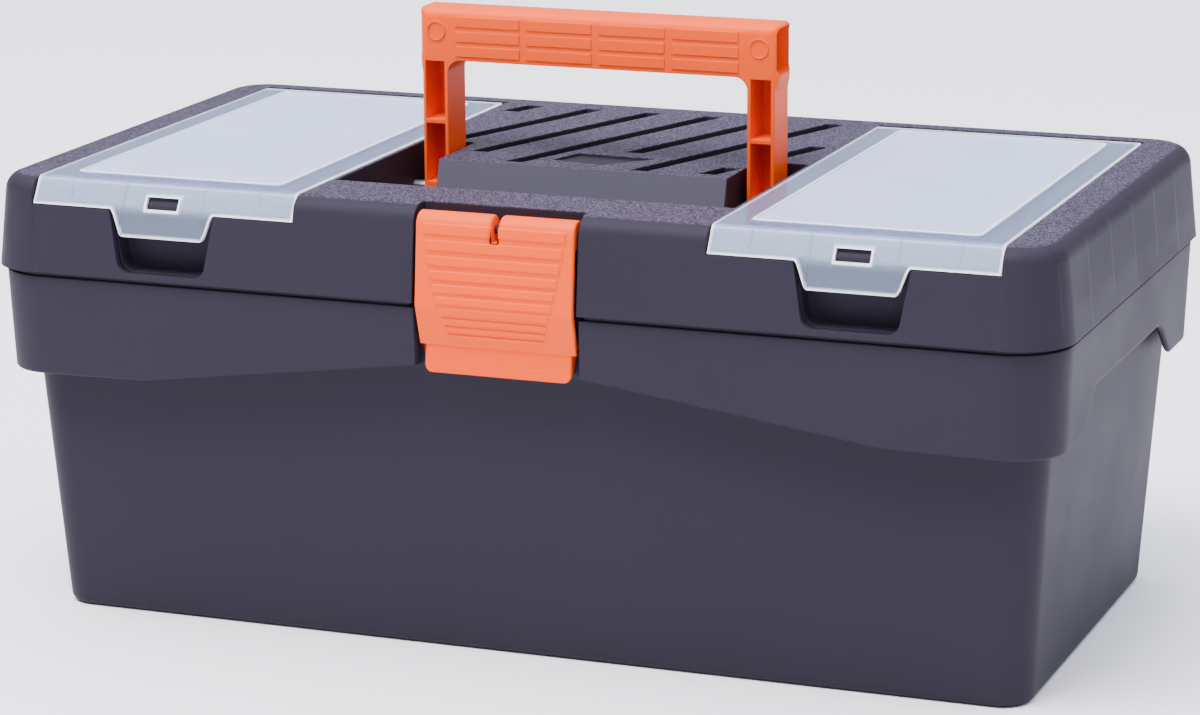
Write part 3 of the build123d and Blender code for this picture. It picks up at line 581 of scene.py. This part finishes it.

# %% [markdown]
# ## The lid's grain and step lines
# The flat tops have a coarse grain that glitters under a low light. Its bump is real, and the glitter is
# also painted: lighter specks on the grain's facets stand in for glints. Both end walls carry shallow
# steps, like clapboards, which stiffen the thin wall, and every second one runs on across the top. The
# steps are the fraction left after dividing y by their spacing, a ramp that drops back to zero at each line.
# The front of the slotted block is painted a shade paler inside a mask on x, y and z: painted light
# for the light that its upward lean catches.

# %% Lid material
lid_plastic = moulded_plastic("charcoal polypropylene, coarse grained tops", CHARCOAL, CHARCOAL_PALE,
                              0.52, 0.7, 0.02, 0.7)
tree = lid_plastic.node_tree
shader = tree.nodes["Principled BSDF"]
shader.inputs["Specular IOR Level"].default_value = CHARCOAL_GLOSS
place = add_node(tree, "TexCoord").outputs["Object"]
axes = add_node(tree, "SeparateXYZ", {0: place})
on_top = add_node(tree, "MapRange", {"Value": axes.outputs["Z"], "From Min": 168.5 * MM,
                                     "From Max": 168.9 * MM})
sparkle = add_node(tree, "TexVoronoi", {"Vector": place, "Scale": 1 / (0.6 * MM), "Randomness": 1.0})
facets = add_node(tree, "MapRange", {"Value": sparkle.outputs["Color"], "From Min": 0.35, "From Max": 0.75})
# painted glint: lighter specks on the grain's facets across the tops, standing in for highlights
painted_glint_mask = add_node(tree, "Math", {0: facets, 1: on_top}, operation="MULTIPLY")
plain = shader.inputs["Base Color"].links[0].from_socket
painted_glint_colour = add_node(tree, "Mix", {0: painted_glint_mask, 6: plain, 7: linear("#544d62")}, data_type="RGBA")
# painted light: the front of the slotted block is painted paler, for the light its upward lean catches
from_middle = add_node(tree, "Math", {0: axes.outputs["X"]}, operation="ABSOLUTE")
nose_width = add_node(tree, "MapRange", {"Value": from_middle, "From Min": 56.9 * MM, "From Max": 57.1 * MM,
                                         "To Min": 1.0, "To Max": 0.0})
nose_front = add_node(tree, "MapRange", {"Value": axes.outputs["Y"], "From Min": -35.5 * MM,
                                         "From Max": -35 * MM})
nose_back = add_node(tree, "MapRange", {"Value": axes.outputs["Y"], "From Min": -25.2 * MM,
                                        "From Max": -24.6 * MM, "To Min": 1.0, "To Max": 0.0})
over_floor = add_node(tree, "MapRange", {"Value": axes.outputs["Z"], "From Min": 143 * MM,
                                         "From Max": 144 * MM})
nose_depth = add_node(tree, "Math", {0: nose_front, 1: nose_back}, operation="MULTIPLY")
nose_height = add_node(tree, "Math", {0: over_floor, 1: nose_width}, operation="MULTIPLY")
painted_light_nose_mask = add_node(tree, "Math", {0: nose_depth, 1: nose_height}, operation="MULTIPLY")
painted_light_nose_colour = add_node(tree, "Mix", {0: painted_light_nose_mask, 6: painted_glint_colour.outputs[2], 7: linear("#504d58")}, data_type="RGBA")
tree.links.new(painted_light_nose_colour.outputs[2], shader.inputs["Base Color"])
fine_grain = shader.inputs["Normal"].links[0].from_socket
coarse = add_node(tree, "Bump", {"Strength": on_top, "Distance": 0.3 * MM,
                                 "Height": sparkle.outputs["Distance"], "Normal": fine_grain})


RISER_MM, FIRST_STEP_MM, STEP_PITCH_MM = 1.1, -65.2, 32.4


def clapboards(pitch_mm, first_mm, mask):
    """A ramp along y once every pitch, which falls back over a short riser, where the mask is 1."""
    shifted = add_node(tree, "Math", {0: axes.outputs["Y"], 1: -first_mm * MM}, operation="ADD")
    turns = add_node(tree, "Math", {0: shifted, 1: pitch_mm * MM}, operation="DIVIDE")
    ramp = add_node(tree, "Math", {0: turns}, operation="FRACT")
    riser = add_node(tree, "MapRange", {"Value": ramp, "From Min": 1 - RISER_MM / pitch_mm, "From Max": 1.0})
    height = add_node(tree, "Math", {0: ramp, 1: riser}, operation="SUBTRACT")
    return add_node(tree, "Math", {0: height, 1: mask}, operation="MULTIPLY")


at_end = add_node(tree, "MapRange", {"Value": from_middle, "From Min": 192 * MM, "From Max": 197 * MM})
above_rim = add_node(tree, "MapRange", {"Value": axes.outputs["Z"], "From Min": 139 * MM,
                                        "From Max": 146 * MM})
wall_mask = add_node(tree, "Math", {0: at_end, 1: above_rim}, operation="MULTIPLY")
top_mask = add_node(tree, "MapRange", {"Value": from_middle, "From Min": 183 * MM, "From Max": 184 * MM})
wall_steps = clapboards(STEP_PITCH_MM, FIRST_STEP_MM, wall_mask)
top_steps = clapboards(2 * STEP_PITCH_MM, FIRST_STEP_MM, top_mask)
steps = add_node(tree, "Math", {0: wall_steps, 1: top_steps}, operation="ADD")
relief = add_node(tree, "Bump", {"Strength": 1.0, "Distance": 0.6 * MM, "Height": steps, "Normal": coarse})
tree.links.new(relief.outputs[0], shader.inputs["Normal"])
print("lid plastic has", len(tree.nodes), "nodes")

# %% [markdown]
# ## Clear styrene
# The covers are clear polystyrene. The plate's underside is frosted inside the raised frame, so the
# small parts show only as shadows; the rim round it is polished and takes the blue-grey of what
# lies under it. A mask on x and y tells the two apart: it is 1 inside the frame's rectangle. Near the
# outline, the frame and the window the colour is painted white and the plastic made less clear: a
# painted highlight for the light that clear edges catch.

# %% Cover material
clear = bpy.data.materials.new("clear polystyrene, frosted panel")
clear.use_nodes = True
tree = clear.node_tree
shader = tree.nodes["Principled BSDF"]
place = add_node(tree, "TexCoord").outputs["Object"]
axes = add_node(tree, "SeparateXYZ", {0: place})
from_middle = add_node(tree, "Math", {0: axes.outputs["X"]}, operation="ABSOLUTE")
from_cover = add_node(tree, "Math", {0: from_middle, 1: COVER_X * MM}, operation="SUBTRACT")
aside = add_node(tree, "Math", {0: from_cover}, operation="ABSOLUTE")
in_width = add_node(tree, "MapRange", {"Value": aside, "From Min": 39.6 * MM, "From Max": 40.4 * MM,
                                       "To Min": 1.0, "To Max": 0.0})
from_row = add_node(tree, "Math", {0: axes.outputs["Y"], 1: -FRAME_Y * MM}, operation="ADD")
lengthwise = add_node(tree, "Math", {0: from_row}, operation="ABSOLUTE")
in_length = add_node(tree, "MapRange", {"Value": lengthwise, "From Min": 87.1 * MM, "From Max": 87.9 * MM,
                                        "To Min": 1.0, "To Max": 0.0})
panel = add_node(tree, "Math", {0: in_width, 1: in_length}, operation="MULTIPLY")
clouds = add_node(tree, "TexNoise", {"Vector": place, "Scale": 1 / (35 * MM), "Detail": 2.0})
misty = add_node(tree, "Mix", {0: clouds, 6: linear("#bcc6e6"), 7: linear("#d3dcf5")}, data_type="RGBA")
colour = add_node(tree, "Mix", {0: panel, 6: linear("#cbd9f0"), 7: misty.outputs[2]}, data_type="RGBA")
# painted highlight: near the outline, frame and window the colour turns white and less clear
edge = add_node(tree, "Attribute", attribute_name="edge").outputs["Fac"]
painted_edge_highlight_colour = add_node(tree, "Mix", {0: edge, 6: colour.outputs[2], 7: linear("#ffffff")}, data_type="RGBA")
tree.links.new(painted_edge_highlight_colour.outputs[2], shader.inputs["Base Color"])
milky = add_node(tree, "MapRange", {"Value": axes.outputs["Z"], "From Min": 158 * MM, "From Max": 162 * MM,
                                    "To Min": 0.4, "To Max": 1.0})
on_flange = add_node(tree, "MapRange", {"Value": axes.outputs["Z"], "From Min": 168.4 * MM,
                                        "From Max": 169.2 * MM, "To Min": 0.35, "To Max": 0.0})
cloudy = add_node(tree, "Math", {0: milky, 1: on_flange}, operation="MULTIPLY")
sheer = add_node(tree, "MapRange", {"Value": panel, "To Min": 1.0, "To Max": 0.3})
through = add_node(tree, "Math", {0: sheer, 1: cloudy}, operation="SUBTRACT")
painted_edge_opacity = add_node(tree, "Math", {0: edge, 1: 0.75}, operation="MULTIPLY")
clearness = add_node(tree, "Math", {0: through, 1: painted_edge_opacity}, operation="SUBTRACT", use_clamp=True)
tree.links.new(clearness.outputs[0], shader.inputs["Transmission Weight"])
frost = add_node(tree, "MapRange", {"Value": panel, "To Min": 0.12, "To Max": 0.42})
tree.links.new(frost.outputs[0], shader.inputs["Roughness"])
shader.inputs["IOR"].default_value = 1.22

# %% [markdown]
# ## Steel pins
# The hinge, handle and cover pins are drawn steel wire. Drawing leaves fine scratches along
# the wire, so the roughness varies in streaks that are short across x and long along it.

# %% Steel, and who wears what
steel = bpy.data.materials.new("drawn steel wire")
steel.use_nodes = True
tree = steel.node_tree
shader = tree.nodes["Principled BSDF"]
shader.inputs["Base Color"].default_value = linear("#b4b4b8")
shader.inputs["Metallic"].default_value = 1.0
place = add_node(tree, "TexCoord").outputs["Object"]
along = add_node(tree, "Mapping", {"Vector": place, "Scale": (0.05, 1.0, 1.0)})
streaks = add_node(tree, "TexNoise", {"Vector": along, "Scale": 1 / (0.4 * MM), "Detail": 2.0})
polish = add_node(tree, "MapRange", {"Value": streaks, "To Min": 0.2, "To Max": 0.45})
tree.links.new(polish.outputs[0], shader.inputs["Roughness"])

finish_of_slot = {"tub_plastic": charcoal, "lid_plastic": lid_plastic, "orange_plastic": orange,
                  "clear_cover": clear, "steel_pin": steel, "tray_plastic": tray_grey}
for part in frame["record"]["subparts"]:
    piece = frame["nodes"][part["node"]]
    piece.data.materials.clear()
    piece.data.materials.append(finish_of_slot[part["material_slot"]])
tub.data.materials.append(charcoal)
latch.data.materials.append(orange)
for cover in covers:
    cover.data.materials.append(clear)
print(len(finish_of_slot), "finishes on", len(frame["nodes"]), "nodes and 4 new pieces")
